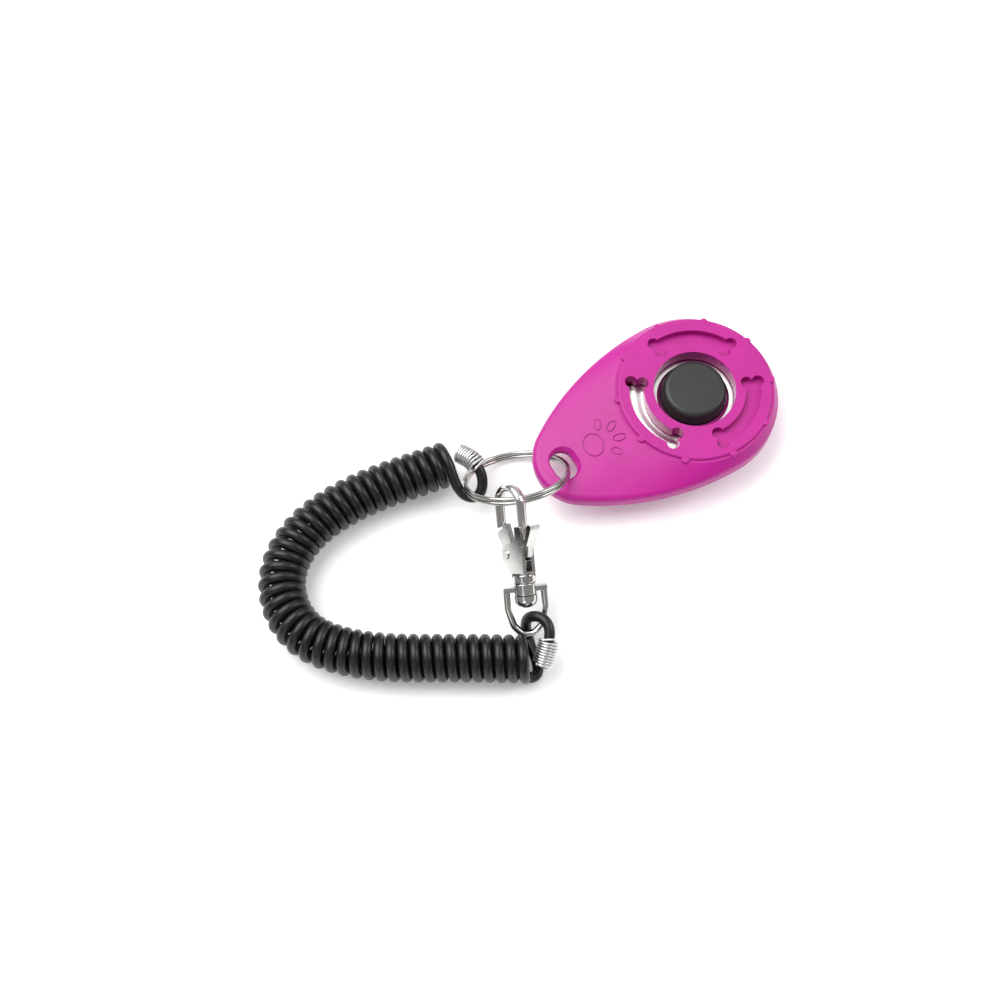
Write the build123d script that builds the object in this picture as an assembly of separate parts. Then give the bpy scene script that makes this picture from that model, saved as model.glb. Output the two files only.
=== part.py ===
from build123d import *
from math import atan2, cos, degrees, pi, radians, sin, sqrt, tan
import os

# Clicker trainer on a wrist coil: a teardrop clicker, a split ring, a trigger snap and a curly
# cord. Millimetres. +Z is up, the clicker lies on z = 0, +X runs along it to its wide end.

# ---- teardrop outline of the clicker ----
WIDE_X, WIDE_R = 10.4, 20.8           # wide end: centre and radius
NARROW_X, NARROW_R = -19.9, 11.6      # narrow end
SIDE_R = 64.0                         # long arc that joins the two ends on each side
BUTTON_X = 11.2                       # axis of the face disc, the leaf's dome and the button

# ---- heights ----
FLOOR_Z = 1.8                         # inner floor of the lower shell
WAIST_Z = 6.9                         # the lower shell reaches its full outline here
PARTING_Z = 8.3                       # joint of the two shells
BROW_Z = 9.9                          # where the rim of the upper shell meets its sloping top
BROW_R = 1.6                          # rounding there
SHOULDER_Z = 12.2                     # where the sloping top meets the face disc
FACE_Z = 12.8                         # flat of the face disc
WALL = 1.8
BASE_INSET = 3.6                      # how far the flat base stands inside the outline

# ---- face disc ----
SHOULDER_R = 18.9
DISC_R, DISC_EDGE_R = 18.2, 0.4
HOLLOW_R = 18.0                       # hollow under the face disc
KNOBS, KNOB_R, KNOB_EDGE_R, FIRST_KNOB = 10, 0.95, 0.3, 14.0
HOLE_R = 9.75
SLOT_R, SLOT_W, SLOT_HALF_ANGLE = 13.8, 3.5, 37.5
LOBE_R, LOBE_SPREAD = 1.45, 1.35
THROUGH_SLOT_ANGLE = 180.0
BLIND_SLOT_ANGLES = (-60.0, 60.0)
RECESS_DEPTH = 1.6
CEILING_Z = 10.4                      # underside of the face
SKIRT_Z = 9.1                         # lower edge of the walls round the hole and the slot
SKIRT_T = 1.1

# ---- key-ring hole ----
KEY_X, KEY_W, KEY_L = -25.0, 5.4, 7.6
KEY_TOP_EDGE, KEY_TOP_Z = 1.2, 9.9     # slanted upper edge of the hole, and where it starts
KEY_LOW_EDGE = 2.4                    # slanted lower edge, which the ring swings into
KEY_BOSS_R = 6.4
TIP_UNDERSIDE_Z = 6.3                 # the narrow end is lifted clear of the table
RELIEF_START_X, RELIEF_END_X = -11.5, -20.5

# ---- spring leaf, button ----
LEAF_Z, LEAF_T = 8.3, 0.4
LEAF_X0, LEAF_X1, LEAF_HALF_W, LEAF_CORNER_R = -4.2, 25.6, 9.9, 3.0
DOME_R, DOME_H, DOME_FLAT_R = 9.0, 0.9, 3.4
BEAD_R, BEAD_H, BEAD_W = 7.9, 0.25, 0.7
BUTTON_R, BUTTON_FOOT_R, BUTTON_EDGE_R = 7.3, 7.7, 1.3
BUTTON_TOP_Z = 13.1
STEM_R, STEM_CLEAR = 1.6, 0.35
RETAINER_R, RETAINER_T = 3.0, 0.7
PEGS = ((28.4, 0.0), (14.0, 17.0), (14.0, -17.0), (-9.5, 10.5), (-9.5, -10.5))
PEG_R, PEG_BOSS_R, PEG_DEPTH = 1.1, 2.2, 3.0
LEDGE_W = 1.6
PAD_R, PAD_INSET = 1.2, 2.1

# ---- split ring ----
RING_CENTRE = (-35.8, 3.0, 9.4)
RING_TILT, RING_TILT_AZ = 42.9, 71.6  # lean of the ring's axis from upright, and its bearing
RING_R, RING_WIRE_R = 12.0, 0.5
RING_PITCH = 1.03
RING_END_ANGLE = 185.0

# ---- trigger snap ----
SNAP_FOOT = (-47.5, -20.1, 9.75)      # lower face of the collar, on the swivel axis
SNAP_BEARING, SNAP_RISE = 65.4, 30.0  # bearing and slope of the swivel axis, hook end up
HOOK_TURN = 127.0                     # turn of the hook's plane from the bail's plane
COLLAR_R, COLLAR_H, COLLAR_EDGE_R = 2.75, 2.0, 0.35
COLLAR_NOTCHES, NOTCH_W, NOTCH_DEPTH = 8, 0.7, 0.6
SHANK_W, CHANNEL_W = 3.6, 1.7
CHANNEL_LOW, CHANNEL_TOP = 2.6, 12.4  # channel of the gate lever, open through the spine
SPINE_X, SPINE_T = -1.0, 2.0
HOOK_A, HOOK_B, HOOK_R = 17.75, 2.7, 3.7
HOOK_HALF_T, HOOK_HALF_W = 0.95, 1.25
NOSE_END_A = 12.2
PIVOT_A, PIVOT_B, PIVOT_R = 6.2, 3.6, 0.6
PIN_HEAD_R, PIN_HEAD_T = 1.0, 0.3
LEVER_GAP = 0.12                      # lever to channel wall, and lever to nose
RUNNING = 0.05                        # radial clearance of the turning fits
SPRING_R, SPRING_WIRE_R, SPRING_H, SPRING_X = 0.5, 0.14, 1.1, 2.1
RIVET_R, RIVET_HEAD_R, RIVET_HEAD_H, RIVET_DOME_R = 1.15, 2.7, 2.9, 1.9
BAIL_BOSS_R, BAIL_BOSS_H, BAIL_GAP = 2.6, 2.7, 0.1
BAIL_HALF_W, BAIL_WIRE_R = 4.3, 0.85
BAIL_BENDS = ((4.3, -6.0), (3.3, -9.9), (1.4, -12.0))
BAIL_BEND_R = 2.3
BAIL_BAR = (10.0, 2.2, 1.3)

# ---- curly cord ----
CORD_D = 2.5
COIL_D = 11.0
COIL_ROUTE = [
    (-47.7, 15.7, 5.5), (-56.0, 17.2, 5.5), (-65.5, 18.8, 5.5), (-75.5, 19.2, 5.5),
    (-85.0, 17.5, 5.5), (-93.0, 12.4, 5.5), (-97.0, 4.2, 5.5), (-96.4, -4.6, 5.5),
    (-91.0, -12.0, 5.5), (-83.0, -18.4, 5.5), (-74.0, -23.8, 5.5), (-64.5, -29.3, 5.5),
    (-55.6, -34.9, 5.5),
]
RING_LOOP_ROUTE = [
    (-47.7, 15.7, 9.75), (-47.9, 13.3, 9.2), (-48.4, 10.9, 8.0), (-48.6, 8.4, 6.6),
    (-47.8, 5.9, 5.7), (-45.8, 4.5, 5.8), (-43.9, 5.2, 6.9), (-42.7, 7.0, 8.1),
    (-42.3, 9.0, 9.2), (-42.4, 11.1, 9.6), (-43.1, 13.3, 9.3), (-44.4, 15.7, 8.8),
]
CLASP_LOOP_ROUTE = [
    (-57.4, -37.0, 2.2), (-56.2, -38.4, 1.5), (-54.3, -38.0, 1.3), (-53.2, -35.6, 1.3),
    (-52.7, -32.2, 1.3), (-52.0, -29.1, 1.3), (-51.4, -27.3, 2.5), (-50.7, -26.6, 5.2),
    (-49.7, -27.3, 7.4), (-48.3, -28.8, 8.6), (-47.8, -31.1, 8.7), (-48.6, -33.2, 8.2),
    (-50.1, -34.9, 7.4), (-51.8, -36.5, 6.4), (-53.6, -38.1, 5.3),
]
SLEEVE_R, SLEEVE_BORE_R, SLEEVE_LENGTH = 2.45, 1.2, 7.0


def tangent_point(side_centre, end_centre, end_r):
    """Where the long side arc runs into an end arc of the teardrop."""
    direction = (Vector(*end_centre) - Vector(*side_centre)).normalized()
    return Vector(*end_centre) + direction * end_r


def teardrop(inset=0.0):
    """Teardrop outline, moved inwards by inset, as one face of four tangent arcs."""
    wide_r = WIDE_R - inset
    tip_r = NARROW_R - inset
    side_r = SIDE_R - inset
    span = WIDE_X - NARROW_X
    along = ((side_r - tip_r) ** 2 - (side_r - wide_r) ** 2 + span**2) / (2 * span)
    centre = (NARROW_X + along, -sqrt((side_r - tip_r) ** 2 - along**2))
    upper_tip = tangent_point(centre, (NARROW_X, 0), tip_r)
    upper_wide = tangent_point(centre, (WIDE_X, 0), wide_r)
    chord_middle = (upper_tip + upper_wide) * 0.5 - Vector(*centre)
    upper_side = Vector(*centre) + chord_middle.normalized() * side_r
    lower_tip = Vector(upper_tip.X, -upper_tip.Y)
    lower_wide = Vector(upper_wide.X, -upper_wide.Y)
    lower_side = Vector(upper_side.X, -upper_side.Y)
    edges = [
        ThreePointArc(upper_wide, (WIDE_X + wide_r, 0), lower_wide),
        ThreePointArc(lower_wide, lower_side, lower_tip),
        ThreePointArc(lower_tip, (NARROW_X - tip_r, 0), upper_tip),
        ThreePointArc(upper_tip, upper_side, upper_wide),
    ]
    return make_face(edges)


def shoulder_circle():
    """Circle of the shoulder, split where the teardrop's own arcs meet."""
    corners = [(e @ 0) for e in teardrop().edges()]
    angles = sorted(degrees(atan2(p.Y, p.X - BUTTON_X)) % 360 for p in corners)
    arcs = []
    for start, end in zip(angles, angles[1:] + [angles[0] + 360]):
        middle = (start + end) / 2
        points = [
            (BUTTON_X + SHOULDER_R * cos(radians(a)), SHOULDER_R * sin(radians(a)))
            for a in (start, middle, end)
        ]
        arcs.append(ThreePointArc(*points))
    return make_face(arcs)


def at_height(z, shape):
    return Pos(0, 0, z) * shape


def polar(radius, angle):
    return (BUTTON_X + radius * cos(radians(angle)), radius * sin(radians(angle)))


def bone_slot(centre_angle):
    """Curved slot round the button hole with a two-lobed end at each side, like a bone."""
    first = centre_angle - SLOT_HALF_ANGLE
    last = centre_angle + SLOT_HALF_ANGLE
    path = ThreePointArc(
        polar(SLOT_R, first), polar(SLOT_R, centre_angle), polar(SLOT_R, last)
    )
    outline = trace(path, SLOT_W)
    for angle in (first, last):
        for spread in (-LOBE_SPREAD, LOBE_SPREAD):
            outline += Pos(*polar(SLOT_R + spread, angle)) * Circle(LOBE_R)
    return outline


def key_slot():
    """Outline of the key-ring hole, long across the clicker."""
    return Pos(KEY_X, 0) * Rot(0, 0, 90) * SlotOverall(KEY_L, KEY_W)


def relief():
    """Space under the narrow end, which the lower shell leaves free for the ring."""
    run = RELIEF_START_X - RELIEF_END_X
    profile = make_face(
        [
            Line((RELIEF_START_X, -1), (RELIEF_START_X, 0)),
            Spline(
                (RELIEF_START_X, 0), (RELIEF_END_X, TIP_UNDERSIDE_Z),
                tangents=[(-run, TIP_UNDERSIDE_Z * 0.9), (-1, 0.05)],
            ),
            Line((RELIEF_END_X, TIP_UNDERSIDE_Z), (-45, TIP_UNDERSIDE_Z)),
            Line((-45, TIP_UNDERSIDE_Z), (-45, -1)),
            Line((-45, -1), (RELIEF_START_X, -1)),
        ]
    )
    return extrude(Plane.XZ * profile, 30, both=True)


def paw_groove():
    """Engraved outline of a paw, five thin rings that follow the slope of the top."""
    slope = degrees(atan2(SHOULDER_Z - BROW_Z, BUTTON_X - SHOULDER_R - NARROW_X + NARROW_R))
    pads = [(-2.1, 0.2, 3.0, 2.5, 80), (1.4, 4.0, 1.5, 0.95, 60), (3.9, 2.0, 1.6, 1.0, 25),
            (4.0, -1.4, 1.6, 1.0, -15), (1.7, -4.0, 1.5, 0.95, -50)]
    lines = Sketch()
    for x, y, long_r, short_r, turn in pads:
        ring = Ellipse(long_r, short_r) - Ellipse(long_r - 0.32, short_r - 0.32)
        lines += Pos(x, y) * Rot(0, 0, turn) * ring
    surface_z = BROW_Z + (-14.6 + 31.5) * tan(radians(slope)) + 0.05
    groove_plane = Plane((-14.6, 0, surface_z), x_dir=(1, 0, tan(radians(slope))),
                         z_dir=(-sin(radians(slope)), 0, cos(radians(slope))))
    return extrude(groove_plane * lines, 0.35, both=True)


def top_cover():
    rim = extrude(at_height(PARTING_Z, teardrop()), BROW_Z - PARTING_Z)
    outlines = [at_height(BROW_Z, teardrop()), at_height(SHOULDER_Z, shoulder_circle())]
    cover = rim + loft(outlines, ruled=True)
    brow = [e for e in cover.edges() if abs((e @ 0).Z - BROW_Z) + abs((e @ 1).Z - BROW_Z) < 0.01]
    cover = fillet(brow, BROW_R)
    disc = Pos(BUTTON_X, 0, SHOULDER_Z - 0.5) * extrude(Circle(DISC_R), FACE_Z - SHOULDER_Z + 0.5)
    disc = fillet(disc.edges().group_by(Axis.Z)[-1], DISC_EDGE_R)
    cover += disc
    for k in range(KNOBS):
        spot = polar(DISC_R + 0.1, FIRST_KNOB + k * 360 / KNOBS)
        knob = extrude(Circle(KNOB_R), FACE_Z - SHOULDER_Z + 0.45)
        knob = fillet(knob.edges().group_by(Axis.Z)[-1], KNOB_EDGE_R)
        cover += Pos(*spot, SHOULDER_Z - 0.5) * knob
    # hollow under the face, with walls left round the hole and the open slot
    hollow = teardrop(WALL) & Pos(BUTTON_X, 0) * Circle(HOLLOW_R)
    hollow -= Pos(KEY_X, 0) * Circle(KEY_BOSS_R)
    cover -= extrude(at_height(PARTING_Z, hollow), CEILING_Z - PARTING_Z)
    skirts = Circle(HOLE_R + SKIRT_T).moved(Location((BUTTON_X, 0, 0)))
    skirts += offset(bone_slot(THROUGH_SLOT_ANGLE), SKIRT_T)
    cover += extrude(at_height(SKIRT_Z, skirts), CEILING_Z - SKIRT_Z)
    # pads that hold the leaf down at its four corners
    pad_z = LEAF_Z + LEAF_T
    for x in (LEAF_X0 + PAD_INSET, LEAF_X1 - PAD_INSET):
        for y in (-LEAF_HALF_W + PAD_INSET, LEAF_HALF_W - PAD_INSET):
            cover += Pos(x, y, pad_z) * extrude(Circle(PAD_R), CEILING_Z - pad_z + 0.2)
    cover -= at_height(SKIRT_Z - 2, Pos(BUTTON_X, 0) * extrude(Circle(HOLE_R), 8))
    cover -= extrude(at_height(SKIRT_Z - 2, bone_slot(THROUGH_SLOT_ANGLE)), 8)
    for angle in BLIND_SLOT_ANGLES:
        cover -= extrude(at_height(FACE_Z - RECESS_DEPTH, bone_slot(angle)), 4)
    peg_z = PARTING_Z - PEG_DEPTH + 0.2
    for x, y in PEGS:
        cover += Pos(x, y, peg_z) * extrude(Circle(PEG_R), CEILING_Z + 0.2 - peg_z)
    cover -= extrude(key_slot(), 20)
    cover -= at_height(KEY_TOP_Z, extrude(key_slot(), KEY_TOP_EDGE, taper=-45))
    cover -= paw_groove()
    return cover


def bottom_cover():
    base = teardrop(BASE_INSET)
    cup = loft([base, at_height(WAIST_Z, teardrop())], ruled=True)
    cup = fillet(cup.edges().group_by(Axis.Z)[0], 1.4)
    cup += extrude(at_height(WAIST_Z, teardrop()), PARTING_Z - WAIST_Z)
    inner_low = teardrop(BASE_INSET + WALL) & Pos(BUTTON_X + 1, 0) * Rectangle(40, 50)
    inner_high = teardrop(WALL) & Pos(BUTTON_X + 3, 0) * Rectangle(48, 50)
    cup -= extrude(at_height(FLOOR_Z, inner_low), PARTING_Z)
    cup -= extrude(at_height(WAIST_Z + 0.4, inner_high), PARTING_Z)
    # ledges across both ends of the leaf
    for x in (LEAF_X0 + LEDGE_W, LEAF_X1 - LEDGE_W):
        ledge = extrude(Rectangle(LEDGE_W, 2 * LEAF_HALF_W), LEAF_Z - FLOOR_Z + 0.5)
        cup += Pos(x, 0, FLOOR_Z - 0.5) * ledge
    for x, y in PEGS:
        cup += Pos(x, y, FLOOR_Z - 0.5) * extrude(Circle(PEG_BOSS_R), PARTING_Z - FLOOR_Z + 0.5)
    cup = cup & extrude(teardrop(), PARTING_Z)
    for x, y in PEGS:
        cup -= Pos(x, y, PARTING_Z - PEG_DEPTH) * extrude(Circle(PEG_R), PEG_DEPTH + 1)
    cup -= relief()
    cup -= extrude(key_slot(), 20)
    low_edge = Rot(180, 0, 0) * extrude(key_slot(), KEY_LOW_EDGE, taper=-45)
    cup -= at_height(PARTING_Z, low_edge)
    return cup


def click_leaf():
    """Spring-steel plate with a stamped dome and bead under the button."""
    width = LEAF_X1 - LEAF_X0
    plate = RectangleRounded(width, 2 * LEAF_HALF_W, LEAF_CORNER_R)
    leaf = Pos((LEAF_X0 + LEAF_X1) / 2, 0, LEAF_Z) * extrude(plate, LEAF_T)
    leaf -= Pos(BUTTON_X, 0, LEAF_Z - 1) * extrude(Circle(DOME_R), 3)
    upper = [(STEM_R + STEM_CLEAR, DOME_H), (DOME_FLAT_R, DOME_H), (BEAD_R - BEAD_W, BEAD_H),
             (BEAD_R, BEAD_H * 2), (BEAD_R + BEAD_W, 0), (DOME_R, 0)]
    lower = [(x, z - LEAF_T) for x, z in reversed(upper)]
    section = make_face(Polyline(*[(x, 0, z) for x, z in upper + lower], close=True))
    dome = revolve(section, Axis.Z)
    return leaf + Pos(BUTTON_X, 0, LEAF_Z + LEAF_T) * dome


def button_cap():
    foot_z = LEAF_Z + LEAF_T + DOME_H
    foot = at_height(foot_z, Circle(BUTTON_FOOT_R))
    cap = loft([foot, at_height(BUTTON_TOP_Z, Circle(BUTTON_R))])
    cap = fillet(cap.edges().group_by(Axis.Z)[-1], BUTTON_EDGE_R)
    stem_low = LEAF_Z + DOME_H - RETAINER_T - 0.4
    cap += at_height(stem_low, extrude(Circle(STEM_R), foot_z - stem_low + 0.5))
    return Pos(BUTTON_X, 0, 0) * cap


def button_retainer():
    """Push-on washer that keeps the button's stem in the leaf."""
    washer = Circle(RETAINER_R) - Circle(STEM_R)
    washer_z = LEAF_Z + DOME_H - RETAINER_T - 0.05
    return Pos(BUTTON_X, 0, washer_z) * extrude(washer, RETAINER_T)


def ring_plane():
    lean = radians(RING_TILT)
    bearing = radians(RING_TILT_AZ)
    axis = (sin(lean) * cos(bearing), sin(lean) * sin(bearing), cos(lean))
    towards_hole = Vector(KEY_X, -1.5, 9.4) - Vector(*RING_CENTRE)
    across = towards_hole - Vector(*axis) * towards_hole.dot(Vector(*axis))
    return Plane(RING_CENTRE, x_dir=across, z_dir=axis)


def split_ring():
    """Two turns of spring wire lying side by side."""
    turns = 1.97
    coil = Helix(RING_PITCH, turns * RING_PITCH, RING_R)
    wire = sweep((coil ^ 0) * Circle(RING_WIRE_R), path=coil)
    wire = Pos(0, 0, -turns * RING_PITCH / 2) * wire
    return ring_plane() * (Rot(0, 0, RING_END_ANGLE) * wire)


def bail_plane():
    """Frame of the bail: origin under the collar, z up the swivel axis, x across the bail."""
    rise = radians(SNAP_RISE)
    bearing = radians(SNAP_BEARING)
    axis = (cos(rise) * cos(bearing), cos(rise) * sin(bearing), sin(rise))
    return Plane(SNAP_FOOT, x_dir=(sin(bearing), -cos(bearing), 0), z_dir=axis)


def hook_plane():
    """Frame of the snap: z up the swivel axis, x from the spine to the nose and gate."""
    return Plane(bail_plane().location * Rot(0, 0, HOOK_TURN))


def side_view(points):
    """Face in the snap's own x-z plane."""
    return make_face(Polyline(*[(x, 0, z) for x, z in points], close=True))


def collar():
    """Round foot of the snap, crimped with notches round its upper edge."""
    foot = extrude(Circle(COLLAR_R), COLLAR_H)
    foot = fillet(foot.edges(), COLLAR_EDGE_R)
    for k in range(COLLAR_NOTCHES):
        notch = Pos(COLLAR_R, 0, COLLAR_H) * Box(2 * NOTCH_DEPTH, NOTCH_W, 2 * NOTCH_DEPTH)
        foot -= Rot(0, 0, (k + 0.5) * 360 / COLLAR_NOTCHES) * notch
    return foot


def snap_body():
    back = SPINE_X - SPINE_T / 2
    front = SPINE_X + SPINE_T / 2
    shank_side = side_view([
        (back, COLLAR_H - 0.3), (2.3, COLLAR_H - 0.3), (4.9, 4.6), (5.0, 7.3), (3.7, 8.6),
        (1.0, 9.2), (front, 10.4), (front, 12.9), (back, 12.9),
    ])
    shank = extrude(shank_side, SHANK_W / 2, both=True)
    shank = fillet(shank.edges().filter_by(Axis.Y), 0.4)
    spine_foot = (SPINE_X, 0, 12.0)
    spine_top = (SPINE_X, 0, HOOK_A)
    nose = HOOK_B + HOOK_R
    path = Wire([
        Line(spine_foot, spine_top),
        ThreePointArc(spine_top, (HOOK_B, 0, HOOK_A + HOOK_R), (nose, 0, HOOK_A)),
        Line((nose, 0, HOOK_A), (nose, 0, NOSE_END_A)),
    ])
    hook = sweep(Plane(spine_foot) * Ellipse(HOOK_HALF_T, HOOK_HALF_W), path=path)
    body = collar() + shank + hook
    channel_middle = (CHANNEL_LOW + CHANNEL_TOP) / 2
    body -= Pos(0, 0, channel_middle) * Box(16, CHANNEL_W, CHANNEL_TOP - CHANNEL_LOW)
    body -= Pos(PIVOT_B, 0, PIVOT_A) * Rot(90, 0, 0) * Cylinder(PIVOT_R, 10)
    body -= Pos(0, 0, -1) * extrude(Circle(RIVET_R), CHANNEL_LOW)
    return hook_plane() * body


def snap_gate():
    """Gate lever: its long arm closes the hook, its tab is pulled down with the thumb."""
    inner = HOOK_B + HOOK_R - HOOK_HALF_T - LEVER_GAP
    outer = HOOK_B + HOOK_R + HOOK_HALF_T
    seat = NOSE_END_A - LEVER_GAP
    arm = side_view([
        (inner - 1.2, seat + 1.0), (inner, seat + 1.0), (inner, seat - 0.1), (6.3, 11.6),
        (outer, 10.9), (outer - 0.1, 10.4), (5.7, 7.4), (5.2, 5.2), (3.6, 4.7), (-1.4, 5.0), (-2.9, 6.4),
        (-3.3, 9.0), (-4.4, 11.6), (-3.6, 12.0), (-2.4, 9.0), (-1.9, 7.4), (2.4, 7.6),
    ])
    lever = extrude(arm, CHANNEL_W / 2 - LEVER_GAP, both=True)
    tab_side = side_view([
        (-2.75, 8.2), (-3.35, 8.6), (-5.2, 12.4), (-5.3, 13.2), (-4.6, 13.6), (-3.9, 13.1),
        (-3.5, 11.6), (-2.45, 8.6),
    ])
    tab = extrude(tab_side, 1.4, both=True)
    lever += fillet(tab.edges().filter_by(Axis.Y), 0.15)
    lever -= Pos(PIVOT_B, 0, PIVOT_A) * Rot(90, 0, 0) * Cylinder(PIVOT_R + RUNNING, 10)
    return hook_plane() * lever


def gate_pin():
    pin = Cylinder(PIVOT_R, SHANK_W)
    for side in (-1, 1):
        pin += Pos(0, 0, side * (SHANK_W + PIN_HEAD_T) / 2) * Cylinder(PIN_HEAD_R, PIN_HEAD_T)
    return hook_plane() * (Pos(PIVOT_B, 0, PIVOT_A) * Rot(90, 0, 0) * pin)


def gate_spring():
    """Small compression spring on the floor of the channel, under the lever's tail."""
    coil = Helix(SPRING_H / 4, SPRING_H, SPRING_R)
    spring = sweep((coil ^ 0) * Circle(SPRING_WIRE_R), path=coil)
    spring_z = CHANNEL_LOW + SPRING_WIRE_R + 0.02
    return hook_plane() * (Pos(SPRING_X, 0, spring_z) * spring)


def swivel_rivet():
    """Domed rivet that holds the bail on the snap and lets it turn."""
    head_top = -BAIL_BOSS_H - 2 * BAIL_GAP
    shaft = Pos(0, 0, head_top - 0.5) * extrude(Circle(RIVET_R), -head_top + 0.5 + CHANNEL_LOW - 1.0)
    head = Pos(0, 0, head_top - RIVET_HEAD_H) * extrude(Circle(RIVET_HEAD_R), RIVET_HEAD_H)
    head = fillet(head.edges().group_by(Axis.Z)[0], RIVET_DOME_R)
    return bail_plane() * (shaft + head)


def swivel_bail():
    """Stirrup that the cord's loop passes through."""
    boss = Pos(0, 0, -BAIL_BOSS_H - BAIL_GAP) * extrude(Circle(BAIL_BOSS_R), BAIL_BOSS_H)
    bar_z = -BAIL_BOSS_H / 2 - BAIL_GAP
    bar = Pos(0, 0, bar_z) * Box(*BAIL_BAR)
    bail = fillet(boss.edges(), 0.25) + fillet(bar.edges(), 0.25)
    left_top = (-BAIL_HALF_W, 0, bar_z)
    left_leg = [(-x, 0, z) for x, z in BAIL_BENDS]
    right_leg = [(x, 0, z) for x, z in reversed(BAIL_BENDS)]
    path = FilletPolyline(
        left_top, *left_leg, *right_leg, (BAIL_HALF_W, 0, bar_z), radius=BAIL_BEND_R
    )
    bail += sweep(Plane(left_top) * Circle(BAIL_WIRE_R), path=path)
    bail -= Pos(0, 0, -BAIL_BOSS_H - 2) * extrude(Circle(RIVET_R + RUNNING), BAIL_BOSS_H + 4)
    return bail_plane() * bail


def corner_radii(points):
    """One radius for each inner point of a route: as large as its two runs allow."""
    radii = []
    for before, point, after in zip(points, points[1:], points[2:]):
        run_in = Vector(*point) - Vector(*before)
        run_out = Vector(*after) - Vector(*point)
        half_turn = radians(run_in.get_angle(run_out)) / 2
        radii.append(0.45 * min(run_in.length, run_out.length) / tan(half_turn))
    return radii


def cord_tube(name, points, diameter):
    radii = corner_radii(points)
    path = FilletPolyline(*points, radius=radii)
    section = Plane(path @ 0, z_dir=path % 0) * Circle(diameter / 2)
    tube = sweep(section, path=path)
    ratio = tube.volume / (pi * diameter**2 / 4 * path.length)
    print(name, "length %.1f" % path.length, "volume ratio %.4f" % ratio,
          "radii", [round(r, 1) for r in radii])
    return tube


def spring_sleeve(points):
    """Close-wound wire sleeve on the cord's tail, as a plain tube; it starts at the tail's end."""
    tail_end = Vector(*points[-1])
    along = (Vector(*points[-3]) - tail_end).normalized()
    tube = Circle(SLEEVE_R) - Circle(SLEEVE_BORE_R)
    return extrude(Plane(tail_end, z_dir=along) * tube, SLEEVE_LENGTH)


NODES = {
    "top_cover": top_cover,
    "bottom_cover": bottom_cover,
    "click_leaf": click_leaf,
    "button_cap": button_cap,
    "button_retainer": button_retainer,
    "split_ring": split_ring,
    "snap_body": snap_body,
    "snap_gate": snap_gate,
    "gate_pin": gate_pin,
    "gate_spring": gate_spring,
    "swivel_rivet": swivel_rivet,
    "swivel_bail": swivel_bail,
    "cord_coil": lambda: cord_tube("cord_coil", COIL_ROUTE, COIL_D),
    "cord_loop_ring": lambda: cord_tube("cord_loop_ring", RING_LOOP_ROUTE, CORD_D),
    "cord_loop_clasp": lambda: cord_tube("cord_loop_clasp", CLASP_LOOP_ROUTE, CORD_D),
    "sleeve_ring": lambda: spring_sleeve(RING_LOOP_ROUTE),
    "sleeve_clasp": lambda: spring_sleeve(CLASP_LOOP_ROUTE),
}

os.makedirs("parts", exist_ok=True)
for node, make in NODES.items():
    export_step(make(), "parts/%s.step" % node)
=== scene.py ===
import math

import bpy
import numpy as np
from mathutils import Matrix, Vector


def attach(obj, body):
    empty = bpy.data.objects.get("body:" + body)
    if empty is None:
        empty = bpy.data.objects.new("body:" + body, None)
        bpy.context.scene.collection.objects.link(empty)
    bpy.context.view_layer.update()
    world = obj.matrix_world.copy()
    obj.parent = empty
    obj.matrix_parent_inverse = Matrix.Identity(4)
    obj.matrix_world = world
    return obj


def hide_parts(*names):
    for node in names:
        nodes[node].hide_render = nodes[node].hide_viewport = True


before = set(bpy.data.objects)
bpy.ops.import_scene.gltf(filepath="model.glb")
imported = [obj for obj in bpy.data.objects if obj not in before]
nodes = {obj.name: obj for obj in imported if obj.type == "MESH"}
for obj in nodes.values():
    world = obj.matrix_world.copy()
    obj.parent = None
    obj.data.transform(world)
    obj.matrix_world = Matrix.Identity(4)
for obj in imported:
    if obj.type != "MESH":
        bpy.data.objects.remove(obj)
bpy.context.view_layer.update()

# ---------------------------------------------------------------- camera
AIM = Vector((-0.0402, 0.0033, 0.0))
ELEVATION, AZIMUTH, DISTANCE = math.radians(68.0), math.radians(-30.4), 0.350
LENS, SENSOR = 52.92, 36.0

camera = bpy.data.objects.new("camera", bpy.data.cameras.new("camera"))
bpy.context.scene.collection.objects.link(camera)
back = Vector((
    math.sin(AZIMUTH) * math.cos(ELEVATION),
    -math.cos(AZIMUTH) * math.cos(ELEVATION),
    math.sin(ELEVATION),
))
camera.location = AIM + back * DISTANCE
camera.rotation_euler = (-back).to_track_quat("-Z", "Y").to_euler()
camera.data.lens = LENS
camera.data.sensor_width = SENSOR
camera.data.clip_start = 0.01
bpy.context.scene.camera = camera


# ---------------------------------------------------------------- curves and tubes
def nurbs_line(points, steps):
    """Points along the smooth NURBS spline that has these control points."""
    curve = bpy.data.curves.new("route", "CURVE")
    curve.dimensions = "3D"
    spline = curve.splines.new("NURBS")
    spline.points.add(len(points) - 1)
    for place, point in zip(spline.points, points):
        place.co = (*point, 1.0)
    spline.order_u = 3
    spline.use_endpoint_u = True
    curve.resolution_u = steps
    spline.resolution_u = steps
    holder = bpy.data.objects.new("route", curve)
    bpy.context.scene.collection.objects.link(holder)
    bpy.context.view_layer.update()
    mesh = bpy.data.meshes.new_from_object(holder)
    line = np.array([v.co[:] for v in mesh.vertices])
    bpy.data.objects.remove(holder)
    bpy.data.curves.remove(curve)
    bpy.data.meshes.remove(mesh)
    return line


def lengths(line):
    """Distance along a line at each of its points."""
    return np.concatenate([[0.0], np.cumsum(np.linalg.norm(np.diff(line, axis=0), axis=1))])


def along(line, distances):
    """Points of a line at these distances along it."""
    far = lengths(line)
    return np.stack([np.interp(distances, far, line[:, k]) for k in range(3)], axis=1)


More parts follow.
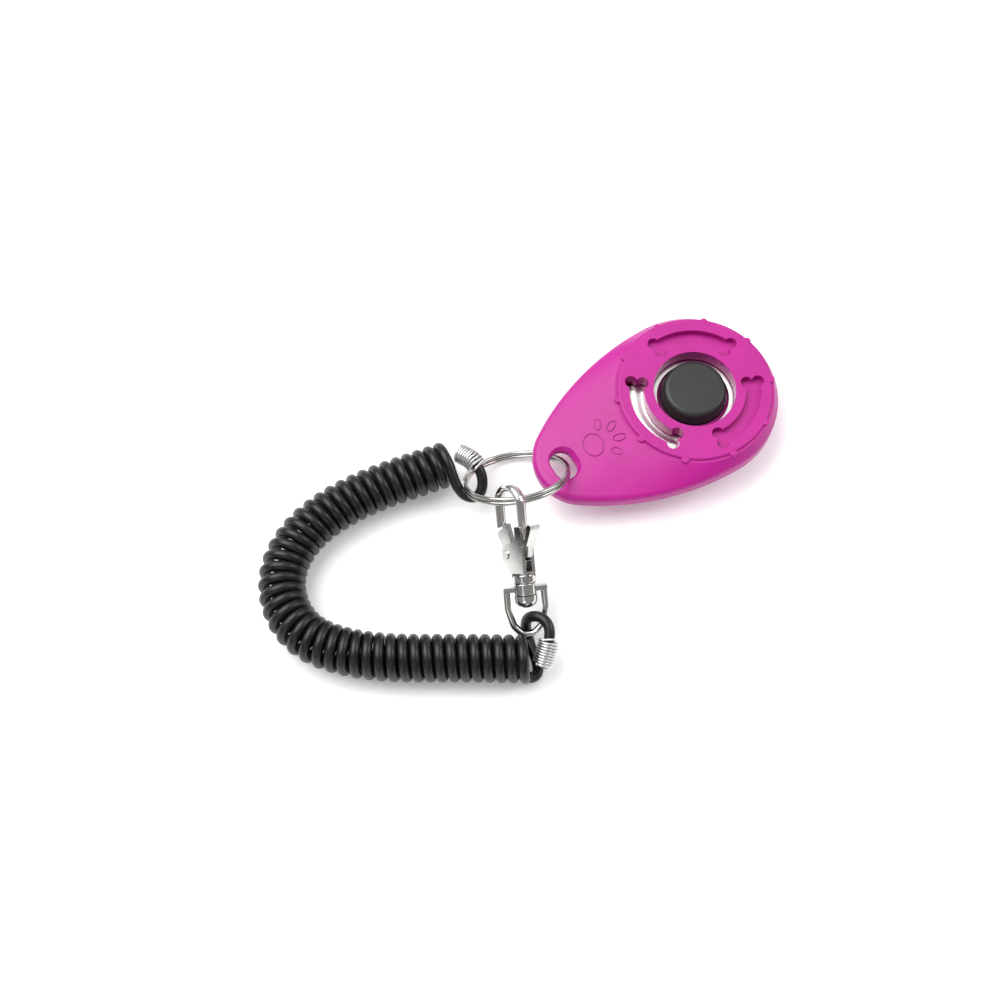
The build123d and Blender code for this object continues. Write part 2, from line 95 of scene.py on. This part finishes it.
def frames(line):
    """Tangents and two turning-free normals at each point of a line."""
    tangents = np.gradient(line, axis=0)
    tangents /= np.linalg.norm(tangents, axis=1)[:, None]
    side = np.cross(tangents[0], (0.0, 0.0, 1.0))
    if np.linalg.norm(side) < 0.1:
        side = np.cross(tangents[0], (0.0, 1.0, 0.0))
    sides = []
    for tangent in tangents:
        side = side - tangent * side.dot(tangent)
        side = side / np.linalg.norm(side)
        sides.append(side)
    sides = np.array(sides)
    return tangents, sides, np.cross(tangents, sides)


def mesh_object(name, vertices, faces):
    mesh = bpy.data.meshes.new(name)
    mesh.from_pydata([tuple(v) for v in vertices], [], faces)
    mesh.validate()
    mesh.update()
    for polygon in mesh.polygons:
        polygon.use_smooth = True
    obj = bpy.data.objects.new(name, mesh)
    bpy.context.scene.collection.objects.link(obj)
    return obj


def tube(name, line, radii, sides=14):
    """Closed round tube along a line, with one radius for each point."""
    _, first, second = frames(line)
    turn = np.linspace(0, 2 * math.pi, sides, endpoint=False)
    rings = (
        line[:, None, :]
        + first[:, None, :] * np.cos(turn)[None, :, None] * radii[:, None, None]
        + second[:, None, :] * np.sin(turn)[None, :, None] * radii[:, None, None]
    )
    vertices = rings.reshape(-1, 3)
    faces = []
    for i in range(len(line) - 1):
        for j in range(sides):
            k = (j + 1) % sides
            faces.append((i * sides + j, i * sides + k, (i + 1) * sides + k, (i + 1) * sides + j))
    faces.append(tuple(reversed(range(sides))))
    faces.append(tuple((len(line) - 1) * sides + j for j in range(sides)))
    return mesh_object(name, vertices, faces)


# ---------------------------------------------------------------- the curly cord
CORD_D, CORD_LENGTH = 0.0025, 1.22
TURNS = 43.4
TURN_POINTS = 16
HELIX_R = 0.00433
COIL_ROUTE = [
    (-0.0477, 0.0157, 0.0055), (-0.0560, 0.0172, 0.0055), (-0.0655, 0.0188, 0.0055),
    (-0.0755, 0.0192, 0.0055), (-0.0850, 0.0175, 0.0055), (-0.0930, 0.0124, 0.0055),
    (-0.0970, 0.0042, 0.0055), (-0.0964, -0.0046, 0.0055), (-0.0910, -0.0120, 0.0055),
    (-0.0830, -0.0184, 0.0055), (-0.0740, -0.0238, 0.0055), (-0.0645, -0.0293, 0.0055),
    (-0.0556, -0.0349, 0.0055),
]
RING_LOOP_ROUTE = [
    (-0.0477, 0.0157, 0.00975), (-0.0479, 0.0133, 0.0092), (-0.0484, 0.0109, 0.0080),
    (-0.0486, 0.0084, 0.0066), (-0.0478, 0.0059, 0.0057), (-0.0458, 0.0045, 0.0058),
    (-0.0439, 0.0052, 0.0069), (-0.0427, 0.0070, 0.0081), (-0.0423, 0.0090, 0.0092),
    (-0.0424, 0.0111, 0.0096), (-0.0431, 0.0133, 0.0093), (-0.0444, 0.0157, 0.0088),
]
CLASP_LOOP_ROUTE = [
    (-0.0574, -0.0370, 0.0022), (-0.0562, -0.0384, 0.0015), (-0.0543, -0.0380, 0.0013),
    (-0.0532, -0.0356, 0.0013), (-0.0527, -0.0322, 0.0013), (-0.0520, -0.0291, 0.0013),
    (-0.0514, -0.0273, 0.0025), (-0.0507, -0.0266, 0.0052), (-0.0497, -0.0273, 0.0074),
    (-0.0483, -0.0288, 0.0086), (-0.0478, -0.0311, 0.0087), (-0.0486, -0.0332, 0.0082),
    (-0.0501, -0.0349, 0.0074), (-0.0518, -0.0365, 0.0064), (-0.0536, -0.0381, 0.0053),
]

middle = nurbs_line(COIL_ROUTE, 24)
total = lengths(middle)[-1]
steps = int(TURNS * TURN_POINTS)
centres = along(middle, np.linspace(0.0, total, steps + 1))
forward, _, _ = frames(centres)
left = np.cross((0.0, 0.0, 1.0), forward)
left /= np.linalg.norm(left, axis=1)[:, None]
phase = np.arange(steps + 1) * 2 * math.pi / TURN_POINTS
helix = (
    centres
    + np.cos(phase)[:, None] * HELIX_R * np.array((0.0, 0.0, 1.0))
    - np.sin(phase)[:, None] * HELIX_R * left
)
route = list(reversed(RING_LOOP_ROUTE)) + [tuple(p) for p in helix[1:]] + CLASP_LOOP_ROUTE[1:]
cord_line = nurbs_line(route, 3)
cord = tube("cord", cord_line, np.full(len(cord_line), CORD_D / 2), 16)


# ---------------------------------------------------------------- wire sleeves on the cord's ends
SLEEVE_R, SLEEVE_WIRE_R, SLEEVE_LENGTH = 0.00245, 0.00030, 0.0070
SLEEVE_START = 0.0006
SLEEVE_PITCH = 2.04 * SLEEVE_WIRE_R
SLEEVE_TURN_POINTS = 28
CHORD_HALF = math.radians(41.0)
SLEEVE_STRETCH = 60                       # points of the cord's line that a sleeve can lie on


def wound_sleeve(name, tail):
    """Close-wound wire round the end of the cord; tail runs from the cord's end inwards."""
    mouth = SLEEVE_LENGTH - 3 * SLEEVE_WIRE_R
    turns = (mouth - SLEEVE_START) / SLEEVE_PITCH
    count = int(turns * SLEEVE_TURN_POINTS)
    places = along(tail, np.linspace(SLEEVE_START, mouth, count))
    _, first, second = frames(places)
    upwards = math.atan2(second[-1][2], first[-1][2])
    angle = upwards - CHORD_HALF - np.linspace(turns * 2 * math.pi, 0.0, count)
    radius = SLEEVE_R - SLEEVE_WIRE_R
    spokes = first * np.cos(angle)[:, None] + second * np.sin(angle)[:, None]
    wire = places + spokes * radius
    # the outer end turns up in a small nub, the inner one is bent straight across the mouth
    axis = (places[-1] - places[-2]) / np.linalg.norm(places[-1] - places[-2])
    nub = [wire[0] + spokes[0] * 0.0003, wire[0] + spokes[0] * 0.0001]
    far = upwards + CHORD_HALF
    far_spoke = first[-1] * math.cos(far) + second[-1] * math.sin(far)
    far_point = places[-1] + far_spoke * radius + axis * 2.2 * SLEEVE_WIRE_R
    across = [wire[-1] + (far_point - wire[-1]) * t for t in (0.15, 0.4, 0.7, 1.0)]
    line = np.concatenate([nub, wire, across])
    return tube(name, line, np.full(len(line), SLEEVE_WIRE_R), 12)


sleeve_ring = wound_sleeve("sleeve_ring_wire", cord_line[:SLEEVE_STRETCH])
sleeve_clasp = wound_sleeve("sleeve_clasp_wire", cord_line[::-1][:SLEEVE_STRETCH])
for piece, stored in ((sleeve_ring, "sleeve_ring"), (sleeve_clasp, "sleeve_clasp")):
    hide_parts(stored)
    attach(piece, "strap")
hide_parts("cord_coil", "cord_loop_ring", "cord_loop_clasp")
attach(cord, "strap")


# ---------------------------------------------------------------- materials
def material(name):
    """New material, its node tree and its shader."""
    made = bpy.data.materials.new(name)
    made.use_nodes = True
    tree = made.node_tree
    return made, tree, tree.nodes["Principled BSDF"]


def node(tree, kind, **values):
    """New node; each value goes to the input of that name, or else to the node's own setting."""
    made = tree.nodes.new(kind)
    for key, value in values.items():
        if key in made.inputs:
            made.inputs[key].default_value = value
        else:
            setattr(made, key, value)
    return made


def noise(tree, scale, detail=4.0, roughness=0.5):
    """Noise in the object's own coordinates; scale is in features per metre."""
    place = node(tree, "ShaderNodeTexCoord")
    made = node(tree, "ShaderNodeTexNoise", Scale=scale, Detail=detail, Roughness=roughness)
    tree.links.new(place.outputs["Object"], made.inputs["Vector"])
    return made


def ramp(tree, source, stops):
    """Colour band over a value; stops are (position, colour)."""
    made = node(tree, "ShaderNodeValToRGB")
    elements = made.color_ramp.elements
    while len(elements) < len(stops):
        elements.new(0.5)
    for element, (place, colour) in zip(elements, stops):
        element.position = place
        element.color = (*colour, 1.0)
    tree.links.new(source, made.inputs["Fac"])
    return made


def vary(tree, source, low, high):
    """Value from 0 to 1 stretched to run from low to high."""
    made = node(tree, "ShaderNodeMapRange")
    made.inputs["To Min"].default_value = low
    made.inputs["To Max"].default_value = high
    tree.links.new(source, made.inputs["Value"])
    return made


def bump(tree, shader, sources, distance):
    """Chain of bumps, each (height output, strength)."""
    previous = None
    for source, strength in sources:
        made = node(tree, "ShaderNodeBump", Strength=strength, Distance=distance)
        tree.links.new(source, made.inputs["Height"])
        if previous is not None:
            tree.links.new(previous.outputs["Normal"], made.inputs["Normal"])
        previous = made
    tree.links.new(previous.outputs["Normal"], shader.inputs["Normal"])


def plastic(name, dark, light, roughness, grain, subsurface=0.0, radius=(1, 1, 1), specular=0.5):
    made, tree, shader = material(name)
    broad = noise(tree, 90, 3)
    fine = noise(tree, grain, 2, 0.6)
    colour = ramp(tree, broad.outputs["Fac"], [(0.35, dark), (0.65, light)])
    tree.links.new(colour.outputs["Color"], shader.inputs["Base Color"])
    rough = vary(tree, broad.outputs["Fac"], roughness[0], roughness[1])
    tree.links.new(rough.outputs["Result"], shader.inputs["Roughness"])
    bump(tree, shader, [(broad.outputs["Fac"], 0.08), (fine.outputs["Fac"], 0.15)], 0.0002)
    shader.inputs["Specular IOR Level"].default_value = specular
    shader.inputs["Subsurface Weight"].default_value = subsurface
    shader.inputs["Subsurface Radius"].default_value = radius
    shader.inputs["Subsurface Scale"].default_value = 0.002
    return made


def metal(name, dark, light, roughness, scratch):
    made, tree, shader = material(name)
    broad = noise(tree, 300, 3)
    fine = noise(tree, scratch, 3, 0.7)
    colour = ramp(tree, broad.outputs["Fac"], [(0.3, dark), (0.7, light)])
    tree.links.new(colour.outputs["Color"], shader.inputs["Base Color"])
    rough = vary(tree, fine.outputs["Fac"], roughness[0], roughness[1])
    tree.links.new(rough.outputs["Result"], shader.inputs["Roughness"])
    bump(tree, shader, [(fine.outputs["Fac"], 0.06)], 0.0001)
    shader.inputs["Metallic"].default_value = 1.0
    return made


pink = plastic("pink_plastic", (0.43, 0.005, 0.235), (0.47, 0.007, 0.265), (0.34, 0.42), 4500,
               0.10, (1.0, 0.15, 0.45), 0.45)
button_black = plastic("button_plastic", (0.014, 0.014, 0.015), (0.019, 0.019, 0.020), (0.38, 0.46),
                       5200, specular=0.5)
cord_black = plastic("cord_elastomer", (0.004, 0.004, 0.0043), (0.006, 0.006, 0.0064), (0.28, 0.40),
                     2500, specular=0.42)
nickel = metal("nickel_plate", (0.56, 0.55, 0.535), (0.70, 0.69, 0.675), (0.07, 0.15), 1800)
spring_steel = metal("spring_steel", (0.38, 0.37, 0.355), (0.50, 0.49, 0.47), (0.12, 0.24), 2600)
sleeve_steel = metal("sleeve_steel", (0.62, 0.62, 0.61), (0.74, 0.74, 0.73), (0.24, 0.36), 2200)


BUTTON_X = 0.0112


def stamped_steel():
    """Bright leaf steel with fine rings round the button's axis."""
    made = metal("leaf_steel", (0.74, 0.73, 0.70), (0.86, 0.85, 0.82), (0.14, 0.26), 2600)
    tree = made.node_tree
    shader = tree.nodes["Principled BSDF"]
    place = node(tree, "ShaderNodeTexCoord")
    shift = node(tree, "ShaderNodeMapping")
    shift.inputs["Location"].default_value = (-BUTTON_X, 0.0, 0.0)
    rings = node(tree, "ShaderNodeTexWave", wave_type="RINGS", rings_direction="Z", Scale=150.0)
    rings.inputs["Distortion"].default_value = 0.6
    tree.links.new(place.outputs["Object"], shift.inputs["Vector"])
    tree.links.new(shift.outputs["Vector"], rings.inputs["Vector"])
    fine = noise(tree, 2600, 3, 0.7)
    bump(tree, shader, [(rings.outputs["Fac"], 0.35), (fine.outputs["Fac"], 0.06)], 0.0002)
    return made


leaf_steel = stamped_steel()

LOOKS = {
    "top_cover": pink, "bottom_cover": pink, "button_cap": button_black,
    "button_retainer": spring_steel, "click_leaf": leaf_steel, "split_ring": spring_steel,
    "snap_body": nickel, "snap_gate": nickel, "gate_pin": nickel, "gate_spring": spring_steel,
    "swivel_rivet": nickel, "swivel_bail": nickel,
}
for name, look in LOOKS.items():
    cad = nodes[name]
    cad.data.materials.clear()
    cad.data.materials.append(look)
cord.data.materials.append(cord_black)
sleeve_ring.data.materials.append(sleeve_steel)
sleeve_clasp.data.materials.append(sleeve_steel)


# ---------------------------------------------------------------- studio
floor = mesh_object("floor", [(-2, -2, 0), (2, -2, 0), (2, 2, 0), (-2, 2, 0)], [(0, 1, 2, 3)])
floor_look, floor_tree, floor_shader = material("floor_paper")
floor_shader.inputs["Base Color"].default_value = (0.93, 0.93, 0.93, 1)
floor_shader.inputs["Roughness"].default_value = 0.9
floor_shader.inputs["Emission Color"].default_value = (1, 1, 1, 1)
floor_shader.inputs["Emission Strength"].default_value = 0.18
floor.data.materials.append(floor_look)


def area_light(name, place, target, size, power):
    light = bpy.data.lights.new(name, "AREA")
    light.shape = "RECTANGLE"
    light.size, light.size_y = size
    light.energy = power
    holder = bpy.data.objects.new(name, light)
    bpy.context.scene.collection.objects.link(holder)
    holder.location = place
    aim = Vector(target) - Vector(place)
    holder.rotation_euler = aim.to_track_quat("-Z", "Y").to_euler()
    return holder


LIT = (-0.03, 0, 0)
area_light("key", (-0.30, 0.40, 0.75), LIT, (0.80, 0.80), 8.5)
area_light("fill", (0.60, -0.20, 0.55), LIT, (0.35, 0.5), 2.2)
area_light("card", (-0.62, -0.52, 0.44), (-0.05, -0.02, 0), (0.42, 0.42), 0.6)

# sky that is brightest round one direction, up and behind the clicker
BRIGHT_WAY = (0.29, 0.49, 0.82)
SKY_STOPS = [(0.0, 0.36), (0.50, 0.34), (0.72, 0.60), (0.9, 1.0)]
world = bpy.data.worlds.new("studio")
world.use_nodes = True
sky = world.node_tree
spot = node(sky, "ShaderNodeTexCoord")
bright_side = node(sky, "ShaderNodeVectorMath", operation="DOT_PRODUCT")
bright_side.inputs[1].default_value = BRIGHT_WAY
sky.links.new(spot.outputs["Generated"], bright_side.inputs[0])
fade = ramp(sky, bright_side.outputs["Value"], [(place, (grey,) * 3) for place, grey in SKY_STOPS])
sky.links.new(fade.outputs["Color"], sky.nodes["Background"].inputs["Color"])
sky.nodes["Background"].inputs["Strength"].default_value = 0.9
bpy.context.scene.world = world
bpy.context.scene.view_settings.view_transform = "Standard"
